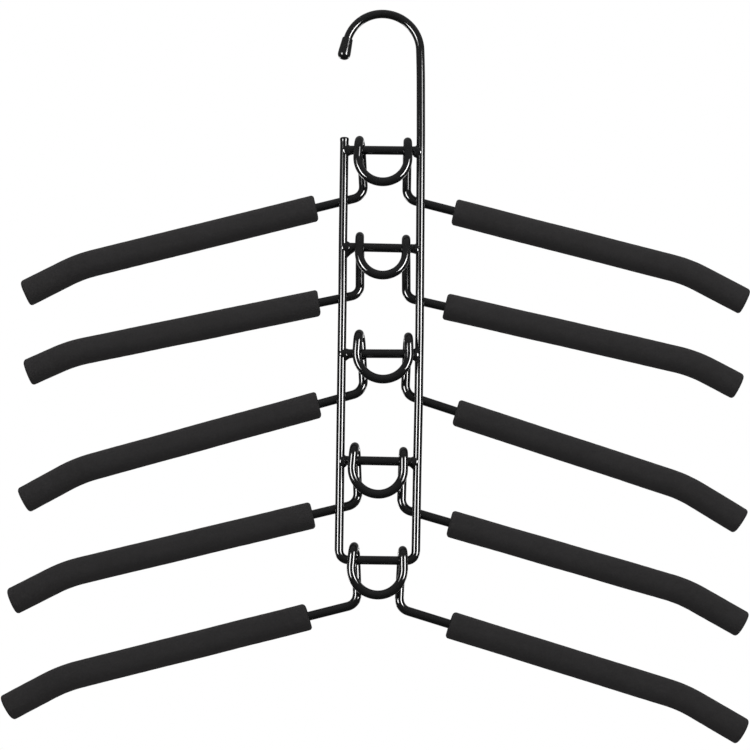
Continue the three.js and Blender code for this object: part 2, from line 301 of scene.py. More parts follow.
mottle, drift, grain = makeMottle(), makeDrift(), makeGrain()


def cleared(owner):
    # Empties a material's or the world's nodes, and gives the function that adds nodes there
    owner.use_nodes = True
    owner.node_tree.nodes.clear()
    return wiring(owner.node_tree)


def mottled(node, place, colour, scale, spread):
    # The colour with a slow drift of tone
    return node("Group", {"node_tree": mottle}, Vector=place, Colour=colour, Scale=scale, Spread=spread)


def grained(node, place, scales, share):
    # The height of a finish's own grain
    fine, coarse = scales
    return node("Group", {"node_tree": grain}, Vector=place, Fine=fine, Coarse=coarse, Coarse_Share=share)


def newFinish(name, c):
    # What the three finishes share: a mottled colour and a drifting gloss, laid on the unbent piece
    material = bpy.data.materials.new(name)
    node = cleared(material)
    place = node("Attribute", {"attribute_name": "unbent"}).outputs["Vector"]
    tone = mottled(node, place, c["colour"], c["toneScale"], c["toneSpread"])
    least, most = c["gloss"]
    gloss = node("Group", {"node_tree": drift}, Vector=place, Scale=c["glossScale"], Least=least, Most=most)
    return material, node, place, tone, gloss


def endWith(node, c, colour, gloss, normal, **others):
    # The material's shader, fed by its patterns
    fed = {"Base_Color": colour, "Roughness": gloss, "Normal": normal}
    node("OutputMaterial", Surface=node("BsdfPrincipled", IOR=c["ior"], **fed, **others))


coat = {
    "colour": (0.0052, 0.0052, 0.0056, 1),
    "toneScale": 60,
    "toneSpread": 0.5,
    "ior": 1.58,
    "gloss": (0.055, 0.1),  # least and most roughness
    "glossScale": 140,
    "peel": 0.0000025,  # depth of the orange peel, m
    "peelScales": (1500, 200),  # of its fine and its coarse noise
    "peelShare": 5,  # of the coarse noise
    "nibs": 0.00006,  # height of the specks of dust under the coat, m
    "nibScale": 90,
    "nibReach": 0.055,
    "nibless": 0.86,  # this share of the places has no speck
    "weldLumps": 2,  # how much lumpier the coat is over a weld
}


def coatedWireMaterial(name, c, lumps):
    # Dipped black coat: orange peel, slow changes of gloss, and a dust nib here and there, which is
    # the top of 1 - distance / reach about a few random points. Lumps raise the coarse share at welds.
    material, node, place, tone, gloss = newFinish(name, c)
    peel = grained(node, place, c["peelScales"], c["peelShare"] + lumps)
    cells = node("TexVoronoi", Vector=place, Scale=c["nibScale"])
    rise = node("MapRange", Value=cells, From_Min=0, From_Max=c["nibReach"], To_Min=1, To_Max=0)
    chosen = node("SeparateColor", Color=cells.outputs["Color"])
    nibs = maths(node, "MULTIPLY", rise, maths(node, "GREATER_THAN", chosen, c["nibless"]))
    bump = node("Bump", Strength=1, Distance=c["peel"] * (1 + lumps), Height=peel)
    bump = node("Bump", Strength=1, Distance=c["nibs"], Height=nibs, Normal=bump)
    endWith(node, c, tone, gloss, bump)
    return material


softFoam = {
    "colour": (0.0275, 0.0262, 0.0268, 1),
    "toneScale": 45,
    "toneSpread": 0.25,
    "speckleScale": 1300,
    "speckleSpread": 0.5,
    "ior": 1.5,
    "specular": 0.06,
    "gloss": (0.82, 0.98),
    "glossScale": 300,
    "skin": 0.00006,  # depth of the skin's relief, m
    "skinScales": (2600, 420),
    "skinShare": 1.1,
    "openCells": 1500,  # cells per metre on a cut end
    "pits": 0.0003,  # depth of the open cells, m
    "pitShade": (0.15, 0.6, 0.55),  # painted shade in the open cells: from and to these cell distances the tone falls to this share
}


def foamMaterial(c):
    # Matt closed-cell foam. The skin's relief is grain. On a cut end, where the cut attribute is 1,
    # open cells take over: height = distance to the nearest cell centre, and painted shade darkens
    # the tone in their pits.
    material, node, place, tone, gloss = newFinish("charcoal foam", c)
    cut = node("Attribute", {"attribute_name": "cut"}).outputs["Fac"]
    speckle = mottled(node, place, tone, c["speckleScale"], c["speckleSpread"])
    skin = grained(node, place, c["skinScales"], c["skinShare"])
    cells = node("TexVoronoi", Vector=place, Scale=c["openCells"])
    pits = maths(node, "MULTIPLY", cells, cut)
    near, far, dark = c["pitShade"]
    # painted shade: the tone falls in the open cells' pits
    paintedPitShade = node("MapRange", Value=pits, From_Min=near, From_Max=far, To_Min=1, To_Max=dark)
    shaded = node("VectorMath", {"operation": "SCALE"}, Vector=speckle, Scale=paintedPitShade)
    bump = node("Bump", Strength=1, Distance=c["skin"], Height=skin)
    bump = node("Bump", {"invert": True}, Strength=1, Distance=c["pits"], Height=pits, Normal=bump)
    endWith(node, c, shaded, gloss, bump, Specular_IOR_Level=c["specular"], Diffuse_Roughness=1)
    return material


softCap = {
    "colour": (0.0065, 0.0065, 0.0068, 1),
    "toneScale": 220,
    "toneSpread": 0.5,
    "ior": 1.52,
    "gloss": (0.1, 0.18),
    "glossScale": 420,
    "relief": 0.000004,  # m
    "reliefScales": (2400, 500),
    "reliefShare": 1.6,
}


def capMaterial(c):
    # Dipped soft plastic: a duller gloss than the wire, with faint grain
    material, node, place, tone, gloss = newFinish("black dipped cap", c)
    relief = grained(node, place, c["reliefScales"], c["reliefShare"])
    endWith(node, c, tone, gloss, node("Bump", Strength=1, Distance=c["relief"], Height=relief))
    return material


blackCoat = coatedWireMaterial("black coated wire", coat, 0)
weldCoat = coatedWireMaterial("black coat over weld", coat, coat["weldLumps"])
charcoalFoam = foamMaterial(softFoam)
dippedCap = capMaterial(softCap)
print("materials made")

# The frame's wire: hook tip, hook, right upright, bottom run, left upright and its cut end. The
# uprights aren't quite straight: each height comes with how far the wire stands outside uprightX.
bentFrame = {
    "top": (-1.0, 2.59),  # x and z of the hook's top, where its two halves meet
    "tipCorner": -18.15,  # x of the corners that the two halves round off
    "shankCorner": 20.41,
    "tipLean": 11.5,  # the tip leans out as it goes down
    "tipStraight": 6.15,
    "right": (
        (-30, -0.42), (-68, 0.03), (-131, 0.32), (-185, 0.5), (-228, 0.38), (-267, -0.02), (-316.3, -0.33)
    ),
    "left": ((-316.3, -0.45), (-228, -0.3), (-165, -0.2), (-131, 0.05), (-71.7, 0.1)),
    "easyBend": 700,  # where the uprights wander
    "cornerBend": 5.3,
    "endRound": 0.8,  # the cut end is rounded over this length
    "endPower": 3.2,
    "hole": 0.4,  # a flat of this radius closes the ends
    "drip": 0.14,  # how far the coat swells behind the cut end
    "dripAt": 1.3,
    "dripLength": 0.7,
    "fineEnd": 4,  # the rings stand closer over this length
}


def frameRadii(distances, length, f):
    # r = R + drip * exp(-((left - at) / l)^2) for the length left to the cut end, and over the last
    # stretch e of it all times (1 - ((e - left) / e)^p)^(1/p)
    left = length - distances
    swell = f["drip"] * np.exp(-(((left - f["dripAt"]) / f["dripLength"]) ** 2))
    into = np.clip(1 - left / f["endRound"], 0, 1)
    return (wire["frame"] + swell) * (1 - into ** f["endPower"]) ** (1 / f["endPower"])


def outside(side, z, f):
    # How far an upright stands outside uprightX at a height, straight between the given heights
    line = np.array(sorted(f["left" if side < 0 else "right"]))
    return float(np.interp(z, line[:, 0], line[:, 1]))


def frameCorners(f):
    # Each half of the hook is an arc from the top to the line of the tip or of the shank, so its
    # bend is its corner's reach / tan(turn / 2)
    lean = math.radians(f["tipLean"])
    topX, top = f["top"]
    run = topX - f["tipCorner"] + f["tipStraight"]
    tipBend = (topX - f["tipCorner"]) / math.tan((math.pi / 2 - lean) / 2)
    right = [(uprightX + out, 0, z) for z, out in f["right"]]
    left = [(-uprightX - out, 0, z) for z, out in f["left"]]
    splay = math.atan((right[0][0] - f["shankCorner"]) / (top - right[0][2]))
    shankBend = (f["shankCorner"] - topX) / math.tan((math.pi / 2 - splay) / 2)
    tip = (f["tipCorner"] - run * math.sin(lean), 0, top - run * math.cos(lean))
    corners = [(tip, 0), ((f["tipCorner"], 0, top), tipBend), ((f["shankCorner"], 0, top), shankBend)]
    corners += [(point, f["easyBend"]) for point in right[:-1]]
    corners += [(right[-1], f["cornerBend"]), (left[0], f["cornerBend"])]
    return corners + [(point, f["easyBend"]) for point in left[1:-1]] + [(left[-1], 0)]


framePath = bentPath(frameCorners(bentFrame))


def stations(length, spacing, ends=(), steps=9):
    # Even steps along a length, and in each given end stretch some that close up towards the end
    even = np.linspace(0, length, int(length / spacing) + 1)
    close = 1 - np.sin(np.linspace(0, np.pi / 2, steps + 1))
    return np.unique(np.concatenate([even, *(length - stretch * close for stretch in ends)]).round(4))


ends = bentFrame["endRound"], bentFrame["fineEnd"]
distances = stations(framePath["length"], wire["spacing"], ends)
radii = frameRadii(distances, framePath["length"], bentFrame)
keep = radii > bentFrame["hole"]
grid, unbent = ringsOn(framePath, distances[keep], radii[keep][:, None], wire["around"])
addSurface("bent_frame", grid, unbent, blackCoat, "frame", ["frame_wire"])

# The soft cap over the hook's tip, bent with the wire
tipCap = {
    "closedEnd": -5.1,  # distances along the frame's wire, from its tip
    "widest": -1.6,
    "mouth": 7.9,
    "depth": -0.2,  # the end of the bore
    "bulb": 3.75,
    "mouthRadius": 3.05,
    "endPower": 2.08,
    "ease": 0.12,  # how much the taper eases at the bulb, and how soon that dies out
    "easeRate": 8,
    "lip": 0.3,
    "clearance": 0.01,  # of the bore round the wire
    "dimples": (6, (0.6, 1.8), (1, 4), 0.012),
    "plainTo": 0.05,  # a ring no further than this outside the wire is bore, and has no dimples
    "seed": 4,
    "firstRing": 0.99,  # share of the quarter turn from the widest place to the closed end
    "rings": (22, 25, 5, 16),  # on the end, the taper, the lip and the bore
    "around": 48,
}


def capOutline(c):
    # Closed end: bulb (1 - u^p)^(1/p), u from the end to the widest place. Then a straight taper
    # eased by e (exp(-k s) - 1), a quarter circle for the lip, and back down the bore.
    onEnd, onTaper, onLip, onBore = c["rings"]
    u = np.sin(np.linspace(c["firstRing"], 0, onEnd) * np.pi / 2)
    endD = c["widest"] - (c["widest"] - c["closedEnd"]) * u
    endR = c["bulb"] * (1 - u ** c["endPower"]) ** (1 / c["endPower"])
    s = np.linspace(0, 1, onTaper + 1)[1:]
    eased = s + c["ease"] * (np.exp(-c["easeRate"] * s) - 1)
    bodyD = c["widest"] + (c["mouth"] - c["lip"] - c["widest"]) * s
    bodyR = c["bulb"] + (c["mouthRadius"] - c["bulb"]) * eased
    q = np.linspace(0, np.pi / 2, onLip + 1)[1:]
    lipD = bodyD[-1] + c["lip"] * np.sin(q)
    lipR = bodyR[-1] - c["lip"] * (1 - np.cos(q))
    boreD = np.linspace(c["mouth"], c["depth"], onBore)
    boreR = np.full(onBore, wire["frame"] + c["clearance"])
    return np.concatenate([endD, bodyD, lipD, boreD]), np.concatenate([endR, bodyR, lipR, boreR])


outlineD, outlineR = capOutline(tipCap)
dimple = ripple(np.random.default_rng(tipCap["seed"]), *tipCap["dimples"])
t = np.linspace(0, 2 * np.pi, tipCap["around"], endpoint=False)
dimpled = (outlineR > wire["frame"] + tipCap["plainTo"])[:, None]
shape = outlineR[:, None] + dimple(*np.broadcast_arrays(outlineD[:, None], t[None])) * dimpled
grid, unbent = ringsOn(framePath, outlineD, shape, tipCap["around"])
addSurface("tip_cap", grid, unbent, dippedCap, "frame", ["hook_tip_cap"])
print("hook and frame made")

# Rungs run into the uprights, and a weld bead with a drop of metal in front fills either joint. A
# bead has two values, above and below its rung, for how far it runs along the rung and how far it
# rises on the upright. Front is how far it stands out before and behind the rung, and full how much
# of the corner between the two wires it fills. A drop has its middle's distance from the upright's
# middle and above the rung's, its half width and half height, and how far it stands out in front.
beads = {
    (1, -1): {
        "runs": (0.9, 3.3), "rises": (0.6, 1.4), "front": 0.35, "full": 0.2, "seed": 3,
        "drop": (1.5, -0.7, 3.3, 3.2, 0.55),
    },
    (1, 1): {
        "runs": (1.1, 2.6), "rises": (0.7, 2.0), "front": 0.55, "full": 0.5, "seed": 12,
        "drop": (1.9, -1.2, 3.1, 3.4, 0.6),
    },
    (2, -1): {
        "runs": (1.6, 4.5), "rises": (0.9, 4.0), "front": 0.4, "full": 0.8, "seed": 5,
        "drop": (1.7, -0.6, 3.4, 3.4, 0.55),
    },
    (2, 1): {
        "runs": (0.9, 2.8), "rises": (0.6, 0.8), "front": 0.35, "full": 0.2, "seed": 8,
        "drop": (2.0, -0.3, 2.8, 2.9, 0.5),
    },
    (3, -1): {
        "runs": (2.4, 3.6), "rises": (0.6, 2.1), "front": 0.5, "full": 0.2, "seed": 21,
        "drop": (1.1, -0.4, 3.3, 3.3, 0.6),
    },
    (3, 1): {
        "runs": (1.2, 1.5), "rises": (0.9, 1.7), "front": 0.45, "full": 0.3, "seed": 9,
        "drop": (2.0, -0.8, 2.8, 3.4, 0.45),
    },
    (4, -1): {
        "runs": (0.8, 2.8), "rises": (0.5, 1.1), "front": 0.5, "full": 0.3, "seed": 14,
        "drop": (1.3, -1.0, 2.9, 3.6, 0.5),
    },
    (4, 1): {
        "runs": (1.1, 3.0), "rises": (0.6, 2.4), "front": 0.4, "full": 0.3, "seed": 30,
        "drop": (1.7, -0.3, 2.9, 3.2, 0.55),
    },
}
weld = {
    "edgeOnRung": 0.985,  # radii of a bead's edges, as shares of the rung's
    "edgeOnUpright": 0.94,
    "sunk": 0.15,  # how deep the edge lies in the upright
    "corner": (0.1, 0.05),  # how far an unfilled corner stands off the upright and the rung
    "swell": 0.105,  # how far a bead stands out between its edges
    "lumps": (7, (3, 9), (1, 6), 0.168),
    "lean": 0.6,  # a bead swells this much towards the middle for each 1 outwards
    "inUpright": (0.6, 0.8),  # depth and height of the closing section, as shares of the edge's
    "inRung": (0.8, 0.5),  # how far behind the edge the other one lies, and its share of the radius
    "around": 56,
    "across": 18,
    "dropDepth": 2.2,
    "dropLumps": (6, (1, 4), (1, 4), 0.15),
    "dropSeed": 50,  # on top of the bead's
    "dropTip": 0.06,  # radians between a drop's tip and its first ring
    "dropRings": 30,
    "dropAround": 44,
}
rungSlopes = (-0.16, 0.54, -0.62, 0.48)  # degrees down to the right, as they were welded


def beadSurface(side, z, shift, b, g):
    # Round the rung, at angle t from straight up, a curve (1-u)^2 A + 2u(1-u) C + u^2 B runs from A on
    # the rung to B on the upright, drawn in towards C where the two meet. Behind it the section
    # closes inside the metal. A swell and waves that are 0 at A and B make it full and lumpy.
    t = np.linspace(0, 2 * np.pi, g["around"], endpoint=False)
    c, s = np.cos(t), np.sin(t)
    low = (1 - c) / 2
    low = low * low * (3 - 2 * low)
    run = b["runs"][0] + (b["runs"][1] - b["runs"][0]) * low
    rise = b["rises"][0] + (b["rises"][1] - b["rises"][0]) * low
    r = wire["rung"]
    yOn = g["edgeOnUpright"] * r * s
    xOn = uprightX - np.sqrt(r * r - yOn * yOn)
    proud = 1 + b["front"] / r * s * s
    onRung = np.stack([faceX - run, g["edgeOnRung"] * r * s, g["edgeOnRung"] * r * c], -1)
    onUpright = np.stack([xOn + g["sunk"], yOn, (r + rise) * c], -1)
    offUpright, offRung = g["corner"]
    corner = np.stack([xOn - offUpright, r * s * proud, (r + offRung) * c], -1)
    corner = corner + b["full"] * ((onRung + onUpright) / 2 - corner)
    u = np.linspace(0, 1, g["across"])[:, None, None]
    top = (1 - u) ** 2 * onRung + 2 * u * (1 - u) * corner + u * u * onUpright
    uu, tt = np.broadcast_arrays(u[..., 0], t[None])
    lumps = ripple(np.random.default_rng(b["seed"]), *g["lumps"])(uu, tt)
    out = unit(np.stack([np.full_like(c, -g["lean"]), s, c], -1))
    top = top + out * (np.sin(np.pi * uu) * (g["swell"] + lumps))[..., None]
    inUpright = onUpright * [0, *g["inUpright"]] + [uprightX, 0, 0]
    behind, share = g["inRung"]
    inRung = np.stack([faceX - run + behind, share * r * s, share * r * c], -1)
    grid = np.concatenate([top, inUpright[None], inRung[None]])
    return grid * [side, 1, 1] + [shift, 0, z]


def dropSurface(side, z, shift, b, g):
    # The drop of weld in front of a joint: an ellipsoid of half width w, half height h and depth d,
    # (w cos u, d sin u cos t, h sin u sin t), with each radius times 1 + waves that are 0 at its tips
    away, up, w, h, proud = b["drop"]
    d = g["dropDepth"]
    u = np.linspace(g["dropTip"], np.pi - g["dropTip"], g["dropRings"])[:, None]
    t = np.linspace(0, 2 * np.pi, g["dropAround"], endpoint=False)[None]
    uu, tt = np.broadcast_arrays(u, t)
    lumps = ripple(np.random.default_rng(b["seed"] + g["dropSeed"]), *g["dropLumps"])(uu, tt)
    ball = np.stack([w * np.cos(uu), d * np.sin(uu) * np.cos(tt), h * np.sin(uu) * np.sin(tt)], -1)
    ball = ball * (1 + lumps * np.sin(uu))[..., None]
    return (ball + [uprightX - away, d - wire["frame"] - proud, up]) * [side, 1, 1] + [shift, 0, z]


for number, (z, slope) in enumerate(zip(rungZ, rungSlopes), 1):
    fall = uprightX * steepness(slope)
    rungPath = bentPath([((-uprightX, 0, z + fall), 0), ((uprightX, 0, z - fall), 0)])
    distances = stations(rungPath["length"], wire["spacing"])
    grid, unbent = ringsOn(rungPath, distances, np.array([[wire["rung"]]]), wire["around"])
    unbent = unbent + [0, 0, z]
    addSurface(f"rung_bar_{number}", grid, unbent, blackCoat, "frame", [f"rung_{number}"])
    for side, word in ((-1, "left"), (1, "right")):
        place = side, z - side * fall, side * outside(side, z, bentFrame), beads[number, side], weld
        grid = beadSurface(*place)
        addSurface(f"weld_{number}_{word}", grid, grid, weldCoat, "frame", loops=True)
        grid = dropSurface(*place)
        addSurface(f"weld_drop_{number}_{word}", grid, grid, weldCoat, "frame")
print("rungs and welds made")

# Each arm is one wire: from inside a sleeve past the bend near the tip to the elbow, up the rear
# leg, over the rung, down the front leg and round the loop to its other side. These are the solids'
# lengths, and the tiers below give shares of them: slide of the side play, by which the arm's middle
# stands to the right, spread of the front reach, loop of its straight part, hook of the seat's
# height, inset of the wire, from the front leg in to the rear one, drop, reach, inner and tip.
# Thin is the share that the wire is thinner over its hooks, and crown the share of the inset at
# their tops. Depth is how far the legs stand before and behind the rung's axis, legBend the elbow's
# radius, and sag how far the foam hangs off its wire's middle. The others are degrees: back for the
# rear legs' lean, flare and ahead for the front leg's lean outwards and forwards, slopes for the arm
# before and past its bend, and cuts for the lean of a sleeve's ends, first at the tip, with the top
# towards the middle.
arms = {
    "wire": 4.6,
    "sidePlay": 3.4848,
    "seat": 5.34,
    "frontReach": 14.015,
    "hookBendShare": 0.49,
    "loopStraight": 6,
    "legDrop": 27.5,
    "bendReach": 175,
    "tipBend": 74.3,
    "cover": 6,  # foam past the wire's end
    "inner": 140,
    "tip": 35,
    "shorter": (0.33, 0.006),  # shares of the elbow's and the tip bend's radius that they cut off
    "thinReach": 5,  # how far along the wire from the hook's top it is thinner
}
tiers = (
    {
        "slide": 0.106, "spread": 1.01, "loop": 1.02, "back": 2.3, "thin": 0.04, "depth": 5.18,
        "left": {
            "hook": 1.084, "inset": 0.717, "crown": 0.36, "flare": 2.5, "ahead": 3, "legBend": 7.4,
            "sag": 0, "drop": 0.952, "reach": 0.998, "inner": 1.005, "tip": 0.993,
            "slopes": (14.96, 28.06), "cuts": (4.2, 2.6),
        },
        "right": {
            "hook": 0.968, "inset": 0.04, "crown": 0.3, "flare": 1.1, "ahead": 5.5, "legBend": 7.2,
            "sag": 0.34, "drop": 1.0, "reach": 1.01, "inner": 0.993, "tip": 1.072,
            "slopes": (13.92, 27.5), "cuts": (3, 1.5),
        },
    },
    {
        "slide": 0.245, "spread": 0.952, "loop": 0.7, "back": 6.1, "thin": 0.1, "depth": 5.24,
        "left": {
            "hook": 1.249, "inset": 0.115, "crown": 0.3, "flare": 0.3, "ahead": 8, "legBend": 6.3,
            "sag": 0, "drop": 0.965, "reach": 1.0188, "inner": 1.037, "tip": 0.776,
            "slopes": (12.52, 25.26), "cuts": (3.8, 4.5),
        },
        "right": {
            "hook": 1.017, "inset": -0.14, "crown": 0.3, "flare": 0, "ahead": 8, "legBend": 6,
            "sag": -0.3, "drop": 1.024, "reach": 1.0222, "inner": 1.04, "tip": 0.848,
            "slopes": (12.29, 27.3), "cuts": (1.5, 0),
        },
    },
    {
        "slide": 0.549, "spread": 1.0275, "loop": 0.178, "back": 0, "thin": 0.02, "depth": 5.3,
        "left": {
            "hook": 2.111, "inset": 0.79, "crown": 0.38, "flare": 3.6, "ahead": 0, "legBend": 8,
            "sag": 0.27, "drop": 0.778, "reach": 0.989, "inner": 1.014, "tip": 1.013,
            "slopes": (16.27, 29.67), "cuts": (0.9, 2.3),
        },
        "right": {
            "hook": 1.856, "inset": 0.33, "crown": 0.3, "flare": 2.1, "ahead": 2.5, "legBend": 7.5,
            "sag": 0.56, "drop": 0.832, "reach": 0.984, "inner": 0.973, "tip": 1.093,
            "slopes": (17.49, 30.87), "cuts": (-2, 1.7),
        },
    },
    {
        "slide": 0.03, "spread": 1.006, "loop": 0.87, "back": 0, "thin": 0.03, "depth": 5.27,
        "left": {
            "hook": 1.501, "inset": 0.6, "crown": 0.41, "flare": 4.3, "ahead": 0, "legBend": 7.3,
            "sag": 0.29, "drop": 0.875, "reach": 1.0039, "inner": 1.02, "tip": 0.994,
            "slopes": (14.26, 27.55), "cuts": (3.5, 0),
        },
        "right": {
            "hook": 1.075, "inset": 0.18, "crown": 0.3, "flare": 0.3, "ahead": 0, "legBend": 7,
            "sag": 0.46, "drop": 0.967, "reach": 0.9941, "inner": 0.985, "tip": 1.084,
            "slopes": (15.43, 28.88), "cuts": (-0.4, 1),
        },
    },
    {
        "slide": 0.14, "spread": 1.006, "loop": 0.93, "back": 0, "thin": 0.02, "depth": 5.17,
        "left": {
            "hook": 1.423, "inset": 0.62, "crown": 0.4, "flare": 4.7, "ahead": 0, "legBend": 7,
            "sag": 0.2, "drop": 0.893, "reach": 1.0082, "inner": 1.015, "tip": 1.016,
            "slopes": (14.81, 28.79), "cuts": (-2.7, -4.1),
        },
        "right": {
            "hook": 1.094, "inset": 0.41, "crown": 0.3, "flare": 1.5, "ahead": 0, "legBend": 7,
            "sag": 0.28, "drop": 0.972, "reach": 0.9858, "inner": 0.979, "tip": 1.104,
            "slopes": (16.43, 29.48), "cuts": (0.4, -1.9),
        },
    },
)


def armCorners(tier, side, z, a):
    # Corners from the wire's end in the foam, past the bend near the tip, in to the rear leg, over
    # the rung and down to the loop's corner in front
    own = tier["left" if side < 0 else "right"]
    armSlope, tipSlope = (math.radians(slope) for slope in own["slopes"])
    ahead, flare, behind = (steepness(lean) for lean in (own["ahead"], own["flare"], tier["back"]))
    middle, depth = a["sidePlay"] * tier["slide"], tier["depth"]
    loopReach = a["frontReach"] * tier["spread"]
    inset = a["wire"] * own["inset"]
    rear = loopReach - inset
    front = middle + side * loopReach
    crown = front - side * inset * own["crown"]
    legZ, hookZ = z - a["legDrop"] * own["drop"], z + a["seat"] * own["hook"]
    crownY = depth + (hookZ - legZ) * behind
    hookBend = math.hypot(crown - front, depth + crownY) * a["hookBendShare"]
    loopZ = z - a["loopStraight"] * tier["loop"] - loopReach
    fall = hookZ - loopZ
    cornerReach = loopReach + fall * flare
    turn = math.acos(-flare / math.sqrt(1 + flare**2 + ahead**2))
    bendReach = a["bendReach"] * own["reach"]
    bendX, bendZ = middle + side * bendReach, legZ - (bendReach - rear) * math.tan(armSlope)
    tip = a["tip"] * own["tip"] - a["cover"]
    return [
        ((bendX + side * math.cos(tipSlope) * tip, depth, bendZ - math.sin(tipSlope) * tip), 0),
        ((bendX, depth, bendZ), a["tipBend"]),
        ((middle + side * rear, depth, legZ), own["legBend"]),
        ((crown, crownY, hookZ), hookBend),
        ((front, -depth, hookZ), hookBend),
        ((middle + side * cornerReach, -depth - fall * ahead, loopZ), cornerReach / math.tan(turn / 2)),
    ]


def crownRadii(distances, length, left, right, thin, a):
    # R (1 - thin exp(-((d - crown) / reach)^2)), where crown is the length along the wire to the
    # hook's top: the straight lines between the corners less what the bends cut off
    radii = np.full(len(distances), wire["arm"])
    elbowShare, tipShare = a["shorter"]
    for corners, along in ((left, distances), (right, length - distances)):
        points = np.array([corner[0] for corner in corners])
        runs = np.linalg.norm(np.diff(points, axis=0), axis=1)
        crown = runs[:3].sum() - (corners[2][1] * elbowShare + corners[1][1] * tipShare)
        radii *= 1 - thin * np.exp(-(((along - crown) / a["thinReach"]) ** 2))
    return radii


sleeve = {
    "radius": 7.7,
    "longer": 0.2,  # at either end, than the solid
    "rim": 1.9,
    "crown": 0.25,  # the cut faces stand out this much in their middle
    "pucker": 0.7,  # the foam is drawn in this far where the wire enters
    "puckerReach": 1.5,
    "bore": (0.5, -0.3),  # from this far inside its mouth to this place along the wire
    "grip": 0.02,  # the bore is this much smaller than the wire
    "hub": 0.3,  # radius of the first ring of the closed face
    "waves": (5, (0.05, 0.16), (1, 3), 0.1),
    "fineWaves": (5, (0.3, 0.9), (2, 6), 0.035),
    "plainTo": 1,  # this far outside the wire the waves begin
    "wavedOver": 3,  # and over this further radius they grow
    "leanFade": 22,  # a cut's lean dies out over this length
    "patternStep": 40,  # so that no two sleeves have the same stretch of the pattern
    "rings": (13, 9, 17, 24),  # on the closed face, either rim, the open face and the bore
    "around": 72,
    "spacing": 1.1,
}


def sleeveOutline(f, first, last):
    # From the middle of the closed face: a crowned face, a quarter circle for the rim, the long
    # side, the other rim, the open face, which draws in round the wire by pucker * exp(-x^2), and the
    # bore. Face is 1 on the cut ends and 0 on the side.
    onClosed, onRim, onOpen, onBore = f["rings"]
    q = np.linspace(0, np.pi / 2, onRim)
    flat, wireR = f["radius"] - f["rim"], wire["arm"]
    closedR = np.linspace(f["hub"], flat, onClosed + 1)[:-1]
    closedD = first - f["crown"] * (1 - (closedR / flat) ** 2)
    rimD, rimR = first + f["rim"] * (1 - np.cos(q)), flat + f["rim"] * np.sin(q)
    steps = int((last - first - 2 * f["rim"]) / f["spacing"])
    sideD = np.linspace(first + f["rim"], last - f["rim"], steps)[1:-1]
    sideR = np.full(len(sideD), f["radius"])
    openR = np.linspace(flat, wireR, onOpen + 1)[1:]
    into = np.exp(-(((openR - wireR) / f["puckerReach"]) ** 2))
    openD = last + f["crown"] * (1 - (openR / flat) ** 2) - f["pucker"] * into
    boreD = np.linspace(openD[-1] - f["bore"][0], f["bore"][1], onBore)
    boreR = np.full(onBore, wireR - f["grip"])
    d = np.concatenate([closedD, rimD, sideD, last - rimD[::-1] + first, openD, boreD])
    radius = np.concatenate([closedR, rimR, sideR, rimR[::-1], openR, boreR])
    cut = np.cos(q) ** 2
    face = np.concatenate([np.ones(onClosed), cut, 0 * sideR, cut[::-1], np.ones(onOpen + onBore)])
    return d, radius, face


def addSleeve(name, corners, own, side, body, node, seed, f):
    # The outline carried along the arm's own wire. The skin is radius + waves that fade in the bore.
    # Near its ends each point slides along the wire by height * tan(lean of the cut), and the
    # nearer it is to the bore, the less it hangs off the wire.
    path = bentPath([(np.array(place) - [0, 0, own["sag"]], bend) for place, bend in corners[:3]])
    first = -arms["cover"] - f["longer"]
    last = arms["tip"] * own["tip"] + arms["inner"] * own["inner"] - arms["cover"] + f["longer"]
    d, r, face = sleeveOutline(f, first, last)
    rng = np.random.default_rng(seed)
    t = np.linspace(0, 2 * np.pi, f["around"], endpoint=False)
    dd, tt = np.broadcast_arrays(d[:, None], t[None])
    wave = ripple(rng, *f["waves"])(dd, tt)
    wave = wave + ripple(rng, *f["fineWaves"])(dd, tt)
    skin = np.clip((r - wire["arm"] - f["plainTo"]) / f["wavedOver"], 0, 1)[:, None]
    grid, unbent = ringsOn(path, d, r[:, None] + wave * skin, f["around"])
    outer, inner = (steepness(lean) for lean in own["cuts"])
    lean = outer * np.exp(-(((d - first) / f["leanFade"]) ** 2))
    lean += inner * np.exp(-(((last - d) / f["leanFade"]) ** 2))
    up = -side * r[:, None] * np.sin(t)[None] * skin
    grid = grid + (lean[:, None] * up)[..., None] * placesOn(path, d)[1][:, None]
    held = 1 - np.clip((r - wire["arm"]) / (f["radius"] - wire["arm"]), 0, 1)
    grid[..., 2] += own["sag"] * held[:, None]
    unbent = unbent + [seed * f["patternStep"], 0, 0]
    piece = addSurface(name, grid, unbent, charcoalFoam, body, [node], marks=face[:, None])


for number, (tier, z) in enumerate(zip(tiers, rungZ), 1):
    left, right = armCorners(tier, -1, z, arms), armCorners(tier, 1, z, arms)
    armPath = bentPath(left + right[::-1])
    distances = stations(armPath["length"], wire["spacing"])
    radii = crownRadii(distances, armPath["length"], left, right, tier["thin"], arms)
    grid, unbent = ringsOn(armPath, distances, radii[:, None], wire["around"])
    body = f"tier_{number}"
    unbent = unbent + [0, 0, z]
    addSurface(f"arm_{number}", grid, unbent, blackCoat, body, [f"arm_wire_{number}"])
    for side, word, corners in ((-1, "left", left), (1, "right", right)):
        seed = number * 2 + (word == "right")
        node = f"foam_sleeve_{number}_{word}"
        addSleeve(f"sleeve_{number}_{word}", corners, tier[word], side, body, node, seed, sleeve)
print("arms and sleeves made")

# A pale floor well under the hanging hanger. Near it the floor is plain and takes the shadow, and
# further out it goes over to the white of the background.
floor = {
    "z": -760,
    "hub": 1,  # radius of the innermost ring
    "reach": 6000,
    "rings": 12,
    "around": 64,
    "colour": (0.93, 0.93, 0.93, 1),
    "plain": 0.9,  # from its middle the floor is plain to here, and white from the next on, m
    "white": 3.0,
}


